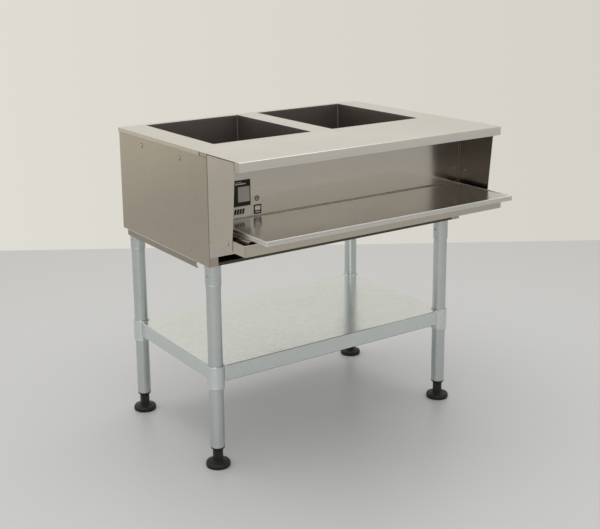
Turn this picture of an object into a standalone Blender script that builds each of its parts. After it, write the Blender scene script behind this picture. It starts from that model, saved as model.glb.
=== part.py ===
"""A free-standing heated serving table with two open wells, a front ledge, a shelf space with a
pull-out tray, and an open base of four round legs with an undershelf and adjustable feet.

Metres, +Z up, +X to the right of a person who stands at the front, front towards -Y.
The origin is on the floor, under the centre of the whole table with its tray pushed in.
"""

import math

import bmesh
import bpy
from mathutils import Matrix, Vector

# Body, in metres.
tableHeight = 0.914
bodyWidth = 0.900
bodyFront = -0.1485
bodyBack = 0.3865
bodyBottom = 0.602
gap = 0.0003
sheet = 0.0015
thinSheet = 0.0012
postWidth = 0.028
recessTop = 0.628
panLip = 0.009
railHeight = 0.020
railWidth = 0.0065
railInset = 0.0055

cutReach = 0.010
backReturn = 0.020

# Top sheet, its two openings and the wells.
seamBack = 0.040
topHem = 0.012
wellWidth = 0.328
wellDepth = 0.410
wellSideMargin = 0.0845
wellFront = bodyFront + 0.106
wellDrop = 0.160
wellCollar = 0.012
wellCorner = 0.003
linerFlange = 0.011
jacketWall = 0.010
jacketBottom = 0.715
elementRadius = 0.004
elementRuns = 5
elementEndMargin = 0.045
elementStart = 0.070
elementFinish = 0.060
thermostatRadius = 0.012
thermostatHeight = 0.012
thermostatStart = 0.030

# Work ledge, which oversails the body's front.
ledgeReach = 0.165
lipHeight = 0.026
lipReturn = 0.024
lipUpturn = 0.012

# Shelf space under the ledge.
plateTopReach = 0.140
plateBottomReach = 0.118
plateBottom = 0.675
plateFlange = 0.010
supportPanReach = 0.178
supportPanBottom = 0.672
supportPanHeight = 0.031
trayWidth = 0.848
trayDepth = 0.2447
trayTop = 0.725
trayRim = 0.014
trayBead = 0.0018
trayBeadWidth = 0.006
traySupportWidth = 0.030
traySupportInset = 0.006
traySupportEnd = 0.004
sheetCorner = 0.004
plateScrewBack = 0.096
plateScrewHeight = 0.692

# Terminals and plates.
terminalFront = 0.250
terminalRight = 0.390
terminalSize = (0.100, 0.080, 0.050)
glandRadius = 0.0102
glandBore = 0.006
glandNut = 0.015
plateThickness = 0.0006
panScrewBack = 0.016
panScrewPlaces = {"left": 0.076, "right": 0.774}

# Open base.
legX = bodyWidth / 2 - 0.036
frontLegY = bodyFront + 0.044
backLegY = bodyFront + 0.507
legRadius = 0.02065
legWall = 0.0015
legBottom = 0.0592
socketRadius = 0.0225
socketBottom = 0.536
studRadius = 0.005
studRise = 0.010
socketRoof = 0.003
setScrewProud = 0.0035
setScrewRadius = 0.003
setScrewHeight = 0.566
collarRadius = 0.0250
collarBottom = 0.237
collarTop = 0.303
railFrontGap = 0.0145
railBackReach = 0.003
earLength = 0.045
earThickness = 0.003
shelfTop = 0.300
shelfDrop = 0.046
shelfOutX = 0.010
shelfOutY = 0.013
padRadius = 0.035
padHeight = 0.014
neckRadius = 0.0127
stemRadius = 0.008
stemTop = 0.085
insertRim = 0.006
insertPlug = 0.028
chamfer = 0.0015

# Values that follow from the ones above.
halfWidth = bodyWidth / 2
topUnder = tableHeight - sheet
bodyFloor = bodyBottom + thinSheet
panelTop = topUnder - gap
panelOut = halfWidth - sheet - gap
panelIn = panelOut - thinSheet - gap
postFront = bodyFront + thinSheet + gap
frontInside = postFront + thinSheet + gap
backOutside = bodyBack - sheet - gap
backInside = backOutside - thinSheet - gap
wellX = halfWidth - wellSideMargin - wellWidth / 2
wellMiddleY = wellFront + wellDepth / 2
linerOut = sheet + gap + thinSheet
linerFloor = tableHeight - wellDrop
legPlaces = {
    "front_left": (-legX, frontLegY),
    "front_right": (legX, frontLegY),
    "back_left": (-legX, backLegY),
    "back_right": (legX, backLegY),
}
sides = {"left": -1, "right": 1}

for old in list(bpy.data.objects):
    bpy.data.objects.remove(old, do_unlink=True)


def newCollection(name):
    """A collection in the scene."""
    made = bpy.data.collections.new(name)
    bpy.context.scene.collection.children.link(made)
    return made


parts = newCollection("serving_table")
cutters = newCollection("cutters")


def finish(name, colour, roughness, metallic):
    """One Principled material."""
    made = bpy.data.materials.new(name)
    made.use_nodes = True
    shader = made.node_tree.nodes["Principled BSDF"]
    shader.inputs["Base Color"].default_value = (*colour, 1.0)
    shader.inputs["Roughness"].default_value = roughness
    shader.inputs["Metallic"].default_value = metallic
    return made


topSteel = finish("top_steel", (0.62, 0.60, 0.57), 0.30, 1.0)
bodySteel = finish("body_steel", (0.33, 0.31, 0.27), 0.38, 1.0)
plateSteel = finish("plate_steel", (0.42, 0.40, 0.36), 0.38, 1.0)
wellSteel = finish("well_steel", (0.10, 0.09, 0.08), 0.45, 1.0)
traySteel = finish("tray_steel", (0.55, 0.55, 0.53), 0.15, 1.0)
zinc = finish("galvanised", (0.45, 0.50, 0.50), 0.45, 1.0)
screwSteel = finish("screw_steel", (0.50, 0.50, 0.48), 0.30, 1.0)
blackPlastic = finish("black_plastic", (0.015, 0.015, 0.015), 0.50, 0.0)
plateBlack = finish("plate_black", (0.02, 0.02, 0.02), 0.45, 0.0)
plateSilver = finish("plate_silver", (0.55, 0.55, 0.52), 0.35, 0.8)
elementSheath = finish("element_sheath", (0.12, 0.11, 0.10), 0.55, 1.0)
mineralWool = finish("mineral_wool", (0.55, 0.48, 0.25), 0.95, 0.0)
boxGrey = finish("box_grey", (0.35, 0.36, 0.37), 0.50, 0.6)


def newObject(name, bm, material):
    """Turns a bmesh into an object; without a material it is a cutter."""
    mesh = bpy.data.meshes.new(name)
    bm.to_mesh(mesh)
    bm.free()
    made = bpy.data.objects.new(name, mesh)
    if material:
        mesh.materials.append(material)
        parts.objects.link(made)
    else:
        made.hide_render = True
        made.display_type = "WIRE"
        cutters.objects.link(made)
    return made


def roundCorners(bm, corner):
    """Rounds the edges of a box that stand along Z."""
    upright = [e for e in bm.edges if (e.verts[0].co.xy - e.verts[1].co.xy).length < 0.0001]
    bmesh.ops.bevel(
        bm,
        geom=upright,
        offset=corner,
        segments=4,
        profile=0.5,
        affect="EDGES",
        material=-1,
    )


def boxForm(low, high, corner=0.0):
    """A bmesh box between two corners, its upright edges rounded to a corner radius."""
    bm = bmesh.new()
    bmesh.ops.create_cube(bm, size=1.0)
    bmesh.ops.scale(bm, vec=Vector(high) - Vector(low), verts=bm.verts)
    bmesh.ops.translate(bm, vec=(Vector(high) + Vector(low)) / 2, verts=bm.verts)
    if corner:
        roundCorners(bm, corner)
    return bm


def block(name, low, high, material=None, corner=0.0):
    """A solid box."""
    return newObject(name, boxForm(low, high, corner), material)


def rounded(target, width, segments=3):
    """Rounds an object's folds or edges."""
    made = target.modifiers.new("round", "BEVEL")
    made.width = width
    made.segments = segments
    made.limit_method = "ANGLE"
    made.angle_limit = math.radians(30)


def skinned(target, thickness, inward=True):
    """Gives an open surface its sheet thickness."""
    made = target.modifiers.new("thickness", "SOLIDIFY")
    made.thickness = thickness
    made.offset = -1.0 if inward else 1.0
    made.use_even_offset = True


def cut(target, tool, operation="DIFFERENCE"):
    """An exact Boolean on an object."""
    made = target.modifiers.new(operation.lower(), "BOOLEAN")
    made.operation = operation
    made.object = tool
    made.solver = "EXACT"


def openBox(name, low, high, thickness, material, mouth="top", corner=0.0, bend=0.0):
    """A sheet-metal box without its top or bottom; the corners given are its outer faces."""
    bm = boxForm(low, high, corner)
    bm.normal_update()
    side = 1 if mouth == "top" else -1
    missing = [f for f in bm.faces if f.normal.z * side > 0.9]
    bmesh.ops.delete(bm, geom=missing, context="FACES_ONLY")
    made = newObject(name, bm, material)
    if bend:
        rounded(made, bend)
    skinned(made, thickness)
    return made


def folded(name, outline, start, end, thickness, material, plane, inward=True, bend=0.002):
    """A sheet folded along an open outline and run straight across the outline's plane."""
    places = {
        "YZ": lambda a, b, run: (run, a, b),
        "XZ": lambda a, b, run: (a, run, b),
        "XY": lambda a, b, run: (a, b, run),
    }
    bm = bmesh.new()
    verts = [bm.verts.new(places[plane](a, b, start)) for a, b in outline]
    edges = [bm.edges.new(pair) for pair in zip(verts, verts[1:])]
    run = Vector(places[plane](0, 0, end - start))
    swept = bmesh.ops.extrude_edge_only(bm, edges=edges)["geom"]
    moved = [v for v in swept if isinstance(v, bmesh.types.BMVert)]
    bmesh.ops.translate(bm, vec=run, verts=moved)
    made = newObject(name, bm, material)
    if bend:
        rounded(made, bend)
    skinned(made, thickness, inward)
    return made


def turned(name, outline, material, steps=32):
    """A turned piece from (radius, height) points, top to bottom down its outer side."""
    bm = bmesh.new()
    verts = [bm.verts.new((radius, 0, height)) for radius, height in outline]
    for pair in zip(verts, verts[1:]):
        bm.edges.new(pair)
    if outline[0][0] > 0:
        bm.edges.new((verts[-1], verts[0]))
    made = newObject(name, bm, material)
    screw = made.modifiers.new("turn", "SCREW")
    screw.axis = "Z"
    screw.angle = math.tau
    screw.steps = steps
    screw.render_steps = steps
    screw.use_merge_vertices = True
    screw.merge_threshold = 0.00005
    screw.use_smooth_shade = False
    return made


def rod(name, radius, start, end, material=None, segments=16):
    """A round bar between two points."""
    start = Vector(start)
    end = Vector(end)
    turn = (end - start).to_track_quat("Z", "Y").to_matrix().to_4x4()
    bm = bmesh.new()
    bmesh.ops.create_cone(
        bm,
        cap_ends=True,
        segments=segments,
        radius1=radius,
        radius2=radius,
        depth=(end - start).length,
        matrix=Matrix.Translation((start + end) / 2) @ turn,
    )
    return newObject(name, bm, material)


def headScrew(name, seat, outward, headRadius, headHeight, shankRadius, shankLength):
    """A screw whose round head sits just off a seat, its shank going in behind the head."""
    crown = 0.4 * headRadius
    outline = [
        (0, headHeight),
        (crown, headHeight * 0.96),
        (headRadius * 0.8, headHeight * 0.7),
        (headRadius, gap),
        (shankRadius, gap),
        (shankRadius, -shankLength),
        (0, -shankLength),
    ]
    made = turned(name, outline, screwSteel, steps=16)
    made.location = seat
    made.rotation_euler = Vector(outward).to_track_quat("Z", "Y").to_euler()
    return made


def buildTop():
    """Top sheet: a hemmed lid, open at the ledge, with two openings that have turned-down collars."""
    front = bodyFront + seamBack
    top = block(
        "top_sheet",
        (-halfWidth, front, tableHeight - topHem),
        (halfWidth, bodyBack, tableHeight),
        topSteel,
    )
    hollow = block(
        "top_hollow",
        (-halfWidth + sheet, front - cutReach, tableHeight - topHem - cutReach),
        (halfWidth - sheet, bodyBack - sheet, topUnder),
    )
    for side, sign in sides.items():
        x = sign * wellX
        collar = block(
            f"collar_{side}",
            (x - wellWidth / 2 - sheet, wellFront - sheet, tableHeight - wellCollar),
            (x + wellWidth / 2 + sheet, wellFront + wellDepth + sheet, tableHeight + cutReach),
            corner=wellCorner + sheet,
        )
        cut(hollow, collar)
    cut(top, hollow)
    for side, sign in sides.items():
        x = sign * wellX
        mouth = block(
            f"mouth_{side}",
            (x - wellWidth / 2, wellFront, tableHeight - wellCollar - cutReach),
            (x + wellWidth / 2, wellFront + wellDepth, tableHeight + cutReach),
            corner=wellCorner,
        )
        cut(top, mouth)


def buildLedge():
    """Work ledge: one sheet with a boxed front lip whose ends are closed."""
    front = bodyFront - ledgeReach
    under = tableHeight - lipHeight
    outline = [
        (bodyFront + seamBack - gap, tableHeight),
        (front, tableHeight),
        (front, under),
        (front + lipReturn, under),
        (front + lipReturn, under + lipUpturn),
    ]
    ledge = folded("work_ledge", outline, -halfWidth, halfWidth, sheet, topSteel, "YZ", False)
    for side, sign in sides.items():
        outer = sign * halfWidth
        inner = sign * (halfWidth - sheet)
        cap = block(
            f"lip_cap_{side}",
            (min(outer, inner), front + sheet / 2, under + sheet / 2),
            (max(outer, inner), front + lipReturn - sheet / 2, topUnder + sheet / 2),
        )
        cut(ledge, cap, "UNION")


def buildWell(side, sign):
    """One well: its liner, the element and thermostat under its floor, and the jacket round it."""
    x = sign * wellX
    halfX = wellWidth / 2 + linerOut
    front = wellFront - linerOut
    back = wellFront + wellDepth + linerOut
    floorUnder = linerFloor - thinSheet
    liner = openBox(
        f"well_liner_{side}",
        (x - halfX, front, floorUnder),
        (x + halfX, back, panelTop),
        thinSheet,
        wellSteel,
        corner=wellCorner + linerOut,
    )
    flange = block(
        f"liner_flange_{side}",
        (x - halfX - linerFlange, front - linerFlange, panelTop - thinSheet),
        (x + halfX + linerFlange, back + linerFlange, panelTop),
    )
    flangeMouth = block(
        f"liner_mouth_{side}",
        (x - halfX + thinSheet / 2, front + thinSheet / 2, panelTop - cutReach),
        (x + halfX - thinSheet / 2, back - thinSheet / 2, panelTop + cutReach),
        corner=wellCorner + linerOut - thinSheet / 2,
    )
    cut(flange, flangeMouth)
    cut(liner, flange, "UNION")
    wall = jacketWall + gap
    openBox(
        f"well_jacket_{side}",
        (x - halfX - wall, front - wall, jacketBottom),
        (x + halfX + wall, back + wall, panelTop - thinSheet - gap),
        jacketWall,
        mineralWool,
    )
    buildElement(side, x, floorUnder - gap - elementRadius)
    disc = turned(
        f"thermostat_{side}",
        [
            (0, 0),
            (thermostatRadius, 0),
            (thermostatRadius, -thermostatHeight / 2),
            (thermostatRadius * 0.6, -thermostatHeight),
            (0, -thermostatHeight),
        ],
        boxGrey,
        steps=20,
    )
    disc.location = (x, wellFront + thermostatStart, floorUnder - gap)


def buildElement(side, x, z):
    """A sheathed heating element that runs to and fro under the well's floor."""
    reach = wellWidth / 2 - elementEndMargin
    pitch = (wellDepth - elementStart - elementFinish) / (elementRuns - 1)
    bendRadius = pitch / 2
    bendSteps = 8
    points = []
    for run in range(elementRuns):
        y = wellFront + elementStart + run * pitch
        way = 1 if run % 2 == 0 else -1
        points.append((x - way * reach, y, z))
        points.append((x + way * reach, y, z))
        if run < elementRuns - 1:
            for step in range(1, bendSteps):
                angle = -math.pi / 2 + math.pi * step / bendSteps
                points.append(
                    (
                        x + way * (reach + bendRadius * math.cos(angle)),
                        y + bendRadius + bendRadius * math.sin(angle),
                        z,
                    )
                )
    path = bpy.data.curves.new(f"element_path_{side}", "CURVE")
    path.dimensions = "3D"
    path.bevel_depth = elementRadius
    path.bevel_resolution = 2
    path.use_fill_caps = True
    line = path.splines.new("POLY")
    line.points.add(len(points) - 1)
    for point, place in zip(line.points, points):
        point.co = (*place, 1.0)
    made = bpy.data.objects.new(f"heating_element_{side}", path)
    path.materials.append(elementSheath)
    parts.objects.link(made)


def buildSidePanel(side, sign):
    """A body side with a return at the front, which makes the corner post, and one at the back."""
    outline = [
        (sign * (panelOut - postWidth), postFront),
        (sign * panelOut, postFront),
        (sign * panelOut, backOutside),
        (sign * (panelOut - backReturn), backOutside),
    ]
    folded(
        f"side_panel_{side}", outline, bodyBottom, panelTop, thinSheet, bodySteel, "XY", sign < 0
    )


def floorHole(name, radius, x, y, segments=16):
    """A cutter for a round hole through the body's floor."""
    low = bodyBottom - cutReach
    high = bodyFloor + cutReach / 2
    return rod(name, radius, (x, y, low), (x, y, high), segments=segments)


def buildBody():
    """Front panel, back panel, bottom pan and the two side panels."""
    for side, sign in sides.items():
        buildSidePanel(side, sign)
    block(
        "front_panel",
        (-panelOut, bodyFront, recessTop),
        (panelOut, bodyFront + thinSheet, panelTop),
        bodySteel,
    )
    block(
        "back_panel",
        (-panelIn, backInside - thinSheet, bodyFloor + panLip),
        (panelIn, backInside, panelTop),
        bodySteel,
    )
    pan = openBox(
        "bottom_pan",
        (-panelIn, frontInside, bodyBottom),
        (panelIn, backInside, bodyBottom + panLip),
        thinSheet,
        bodySteel,
    )
    for corner, (x, y) in legPlaces.items():
        cut(pan, floorHole(f"stud_hole_{corner}", studRadius + gap, x, y))
    return pan


def buildTerminals(pan):
    """Terminal box on the body's floor, its cover, and the cable gland through both floors."""
    wide, deep, tall = terminalSize
    low = Vector((terminalRight - wide, terminalFront, bodyFloor + gap))
    high = Vector((terminalRight, terminalFront + deep, bodyFloor + tall))
    box = openBox("terminal_box", low, high, thinSheet, boxGrey)
    block(
        "terminal_cover",
        (low.x, low.y, high.z + gap),
        (high.x, high.y, high.z + gap + thinSheet),
        boxGrey,
    )
    x = (low.x + high.x) / 2
    y = (low.y + high.y) / 2
    hole = floorHole("gland_hole", glandRadius + gap, x, y, segments=24)
    cut(box, hole)
    cut(pan, hole)
    gland = turned(
        "cable_gland",
        [
            (glandBore, bodyFloor + 0.012),
            (glandRadius, bodyFloor + 0.012),
            (glandRadius, bodyBottom - gap),
            (glandNut, bodyBottom - gap),
            (glandNut, bodyBottom - 0.007),
            (glandNut - 0.004, bodyBottom - 0.014),
            (glandBore, bodyBottom - 0.014),
        ],
        blackPlastic,
        steps=24,
    )
    gland.location = (x, y, 0)


def buildRail(side, sign):
    """A narrow channel under the body's side, outside the leg sockets."""
    outer = halfWidth - railInset
    top = bodyBottom - gap
    bottom = bodyBottom - railHeight
    outline = [
        (sign * (outer - railWidth), top),
        (sign * outer, top),
        (sign * outer, bottom),
        (sign * (outer - railWidth), bottom),
    ]
    start = frontLegY + socketRadius + railFrontGap
    end = backLegY + railBackReach
    folded(f"side_rail_{side}", outline, start, end, thinSheet, bodySteel, "XZ", sign < 0)


def buildShelfSpace():
    """End plates, support pan and the two rails in it that carry the tray."""
    plateIn = panelOut - sheet
    panWide = plateIn - gap
    panTop = supportPanBottom + supportPanHeight
    pan = openBox(
        "support_pan",
        (-panWide, bodyFront - supportPanReach, supportPanBottom),
        (panWide, bodyFront - gap - sheet - gap, panTop),
        thinSheet,
        plateSteel,
        corner=sheetCorner,
    )
    lean = plateTopReach - plateBottomReach
    tall = panelTop - plateBottom
    slope = math.atan2(lean, tall)
    for side, sign in sides.items():
        outline = [
            (sign * (panelOut - plateFlange), bodyFront - gap),
            (sign * panelOut, bodyFront - gap),
            (sign * panelOut, bodyFront - plateTopReach),
        ]
        plate = folded(
            f"end_plate_{side}", outline, plateBottom, panelTop, sheet, plateSteel, "XY", sign > 0
        )
        clip = block(f"plate_clip_{side}", (-0.05, -0.10, -0.30), (0.05, 0, 0.05))
        clip.location = (sign * panelOut, bodyFront - plateTopReach, panelTop)
        clip.rotation_euler = (slope, 0, 0)
        cut(plate, clip)
        seat = Vector((sign * panelOut, bodyFront - plateScrewBack, plateScrewHeight))
        across = Vector((sign * cutReach / 2, 0, 0))
        hole = rod(f"plate_hole_{side}", 0.0020 + gap, seat + across, seat - across)
        cut(plate, hole)
        cut(pan, hole)
        headScrew(f"plate_screw_{side}", seat, (sign, 0, 0), 0.0045, 0.0026, 0.0020, 0.010)
        buildTraySupport(side, sign)


def buildTraySupport(side, sign):
    """A channel standing in the support pan, under one end of the tray."""
    middle = sign * (trayWidth / 2 - traySupportInset)
    half = traySupportWidth / 2
    low = supportPanBottom + thinSheet + gap
    high = trayTop - trayRim - gap
    outline = [
        (middle - half, low),
        (middle - half, high),
        (middle + half, high),
        (middle + half, low),
    ]
    start = bodyFront - supportPanReach + traySupportEnd
    end = bodyFront - traySupportEnd
    folded(f"tray_support_{side}", outline, start, end, thinSheet, bodySteel, "XZ", False)


def buildTray():
    """Pull-out tray: a shallow lid form with a raised bead round its top; its slide runs along Y."""
    half = Vector((trayWidth / 2, trayDepth / 2, 0))
    bm = boxForm(-half - Vector((0, 0, trayRim)), half)
    bm.normal_update()
    bottom = [f for f in bm.faces if f.normal.z < -0.9]
    bmesh.ops.delete(bm, geom=bottom, context="FACES_ONLY")
    top = [f for f in bm.faces if f.normal.z > 0.9]
    bmesh.ops.inset_region(bm, faces=top, thickness=trayBeadWidth, depth=0)
    bmesh.ops.inset_region(bm, faces=top, thickness=trayBead, depth=-trayBead)
    roundCorners(bm, sheetCorner)
    tray = newObject("tray", bm, traySteel)
    skinned(tray, thinSheet)
    tray.location = (0, bodyFront - gap - trayDepth / 2, trayTop)


def buildLegs():
    """Four legs: socket with its stud, set screw, tube, collar, foot insert and foot."""
    setScrewAngles = {"front_left": 200, "front_right": 180, "back_left": 240, "back_right": 300}
    socketTop = bodyBottom - gap
    bore = legRadius + gap
    legTop = socketTop - socketRoof - gap
    for corner, (x, y) in legPlaces.items():
        socket = turned(
            f"leg_socket_{corner}",
            [
                (0, bodyFloor + studRise),
                (studRadius, bodyFloor + studRise),
                (studRadius, socketTop),
                (socketRadius, socketTop),
                (socketRadius, socketBottom),
                (bore, socketBottom),
                (bore, socketTop - socketRoof),
                (0, socketTop - socketRoof),
            ],
            zinc,
        )
        socket.location = (x, y, 0)
        angle = math.radians(setScrewAngles[corner])
        outward = Vector((math.cos(angle), math.sin(angle), 0))
        centre = Vector((x, y, setScrewHeight))
        hole = rod(
            f"set_hole_{corner}",
            setScrewRadius + gap,
            centre + outward * (legRadius - cutReach / 2),
            centre + outward * (socketRadius + cutReach / 2),
        )
        cut(socket, hole)
        rod(
            f"set_screw_{corner}",
            setScrewRadius,
            centre + outward * (legRadius + gap),
            centre + outward * (socketRadius + setScrewProud),
            screwSteel,
            segments=12,
        )
        tube = turned(
            f"leg_tube_{corner}",
            [
                (legRadius, legTop),
                (legRadius, legBottom),
                (legRadius - legWall, legBottom),
                (legRadius - legWall, legTop),
            ],
            zinc,
        )
        tube.location = (x, y, 0)
        rimTop = legBottom - gap
        rimBottom = rimTop - insertRim
        plugRadius = legRadius - legWall - gap
        threadRadius = stemRadius + gap
        insert = turned(
            f"foot_insert_{corner}",
            [
                (threadRadius, legBottom + insertPlug),
                (plugRadius - chamfer, legBottom + insertPlug),
                (plugRadius, legBottom + insertPlug - 2 * chamfer),
                (plugRadius, rimTop),
                (legRadius, rimTop),
                (legRadius, rimBottom + chamfer),
                (legRadius - chamfer, rimBottom),
                (threadRadius, rimBottom),
            ],
            blackPlastic,
            steps=20,
        )
        insert.location = (x, y, 0)
        foot = turned(
            f"foot_{corner}",
            [
                (0, stemTop),
                (stemRadius - chamfer / 2, stemTop),
                (stemRadius, stemTop - chamfer / 2),
                (stemRadius, rimBottom - gap),
                (neckRadius, rimBottom - gap),
                (neckRadius, padHeight + 0.004),
                (neckRadius + 0.004, padHeight),
                (padRadius - chamfer, padHeight),
                (padRadius, padHeight - chamfer),
                (padRadius, chamfer),
                (padRadius - chamfer, 0),
                (0, 0),
            ],
            blackPlastic,
            steps=28,
        )
        foot.location = (x, y, 0)


def buildUndershelf():
    """Galvanised undershelf with turned-down edges, and the corner collars that hold it."""
    outX = legX + shelfOutX
    frontY = frontLegY - shelfOutY
    backY = backLegY + shelfOutY
    shelf = openBox(
        "undershelf",
        (-outX, frontY, shelfTop - shelfDrop),
        (outX, backY, shelfTop),
        thinSheet,
        zinc,
        mouth="bottom",
        bend=0.002,
    )
    earTop = shelfTop - thinSheet - 0.002
    earBottom = shelfTop - shelfDrop + 0.003
    for corner, (x, y) in legPlaces.items():
        room = rod(
            f"collar_room_{corner}",
            collarRadius + gap,
            (x, y, collarBottom - cutReach),
            (x, y, collarTop + cutReach),
            segments=32,
        )
        cut(shelf, room)
        inX = -1 if x > 0 else 1
        inY = 1 if y < wellMiddleY else -1
        ring = turned(
            f"shelf_collar_{corner}",
            [
                (collarRadius, collarTop),
                (collarRadius, collarBottom),
                (legRadius + gap, collarBottom),
                (legRadius + gap, collarTop),
            ],
            zinc,
        )
        ring.location = (x, y, 0)
        start = collarRadius - earThickness
        alongX = sorted((inX * start, inX * (start + earLength)))
        alongY = sorted((inY * start, inY * (start + earLength)))
        faceX = thinSheet + gap - shelfOutX
        faceY = thinSheet + gap - shelfOutY
        acrossX = sorted((inX * faceX, inX * (faceX + earThickness)))
        acrossY = sorted((inY * faceY, inY * (faceY + earThickness)))
        for name, (x0, x1), (y0, y1) in (("x", alongX, acrossY), ("y", acrossX, alongY)):
            ear = block(f"ear_{name}_{corner}", (x0, y0, earBottom), (x1, y1, earTop))
            ear.location = (x, y, 0)
            cut(ring, ear, "UNION")


def buildPlates():
    """Four thin plates and labels on the front panel, near its left end."""
    back = bodyFront - gap
    front = back - plateThickness
    left = -halfWidth
    block("data_plate", (left + 0.080, front, 0.757), (left + 0.134, back, 0.829), plateBlack)
    block("lower_plate", (left + 0.078, front, 0.7285), (left + 0.132, back, 0.7555), plateSilver)
    block("square_label", (left + 0.144, front, 0.7290), (left + 0.168, back, 0.7550), plateBlack)
    rod(
        "round_label",
        0.0078,
        (left + 0.1545, back, 0.7725),
        (left + 0.1545, front, 0.7725),
        plateSilver,
        segments=24,
    )


def buildPanScrews(pan):
    """Two screws up through the bottom pan's front edge."""
    shank = 0.0025
    for side, place in panScrewPlaces.items():
        seat = (place - halfWidth, bodyFront + panScrewBack, bodyBottom)
        cut(pan, floorHole(f"pan_hole_{side}", shank + gap, seat[0], seat[1]))
        headScrew(f"pan_screw_{side}", seat, (0, 0, -1), 0.0065, 0.0042, shank, 0.008)


buildTop()
buildLedge()
for wellSide, wellSign in sides.items():
    buildWell(wellSide, wellSign)
bottomPan = buildBody()
buildTerminals(bottomPan)
buildPanScrews(bottomPan)
for railSide, railSign in sides.items():
    buildRail(railSide, railSign)
buildShelfSpace()
buildTray()
buildLegs()
buildUndershelf()
buildPlates()
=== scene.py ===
import math

import bmesh
import bpy
from mathutils import Matrix, Vector


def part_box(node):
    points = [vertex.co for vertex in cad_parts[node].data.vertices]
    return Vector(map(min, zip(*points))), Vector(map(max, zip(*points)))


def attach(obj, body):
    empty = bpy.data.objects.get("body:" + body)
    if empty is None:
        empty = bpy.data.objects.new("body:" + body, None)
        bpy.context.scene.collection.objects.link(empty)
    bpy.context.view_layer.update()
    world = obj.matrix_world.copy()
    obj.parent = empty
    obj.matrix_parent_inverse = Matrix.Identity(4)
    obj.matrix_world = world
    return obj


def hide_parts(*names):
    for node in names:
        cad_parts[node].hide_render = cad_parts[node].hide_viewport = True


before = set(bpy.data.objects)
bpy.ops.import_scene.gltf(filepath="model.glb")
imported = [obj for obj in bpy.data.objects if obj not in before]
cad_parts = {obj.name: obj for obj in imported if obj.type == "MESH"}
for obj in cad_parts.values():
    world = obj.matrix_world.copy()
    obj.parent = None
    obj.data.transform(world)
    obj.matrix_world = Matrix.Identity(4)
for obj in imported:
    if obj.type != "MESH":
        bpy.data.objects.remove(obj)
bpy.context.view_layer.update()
print("frame loaded:", len(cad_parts), "nodes")

sides = {"left": -1, "right": 1}
corners = ["front_left", "front_right", "back_left", "back_right"]
up = Vector((0, 0, 1))

# stage: camera, floor and light

cameraView = {
    "place": (-1.7663, -2.4765, 1.4180),
    "yaw": 32.47,  # degrees from +Y towards +X
    "pitch": 12.75,  # degrees below the horizon
    "roll": -1.02,
    "lens": 62.55,
    "shiftX": 0.0667,
    "shiftY": -0.1242,
}


def buildCamera(view):
    yaw = math.radians(view["yaw"])
    pitch = math.radians(view["pitch"])
    roll = math.radians(view["roll"])
    ahead = Vector((math.sin(yaw) * math.cos(pitch), math.cos(yaw) * math.cos(pitch), -math.sin(pitch)))
    level = Vector((math.cos(yaw), -math.sin(yaw), 0))
    above = level.cross(ahead)
    right = math.cos(roll) * level + math.sin(roll) * above
    upright = math.cos(roll) * above - math.sin(roll) * level
    turn = Matrix((right, upright, -ahead)).transposed()
    data = bpy.data.cameras.new("camera")
    data.lens = view["lens"]
    data.shift_x = view["shiftX"]
    data.shift_y = view["shiftY"]
    data.clip_start = 0.05
    camera = bpy.data.objects.new("camera", data)
    camera.matrix_world = Matrix.Translation(view["place"]) @ turn.to_4x4()
    bpy.context.scene.collection.objects.link(camera)
    bpy.context.scene.camera = camera
    return camera


studio = {
    "floorColour": (0.535, 0.545, 0.572),
    "floorRoughness": 0.34,
    "floorAhead": 5.0,  # metres from the camera to the floor's far edge
    "floorBehind": 9.0,
    "floorWidth": 18.0,
    "worldColour": (0.735, 0.712, 0.650),
    "worldLeft": 1.30,
    "worldRight": 0.85,
    "overheadSize": 3.4,
    "overheadPlace": (0.1, 0.0, 3.1),
    "overheadPower": 46.0,
    "frontPlace": (-2.3, -2.4, 1.8),
    "frontSize": 1.6,
    "frontPower": 14.0,
}


def principled(name):
    material = bpy.data.materials.new(name)
    material.use_nodes = True
    tree = material.node_tree
    return material, tree, tree.nodes["Principled BSDF"]


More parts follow.
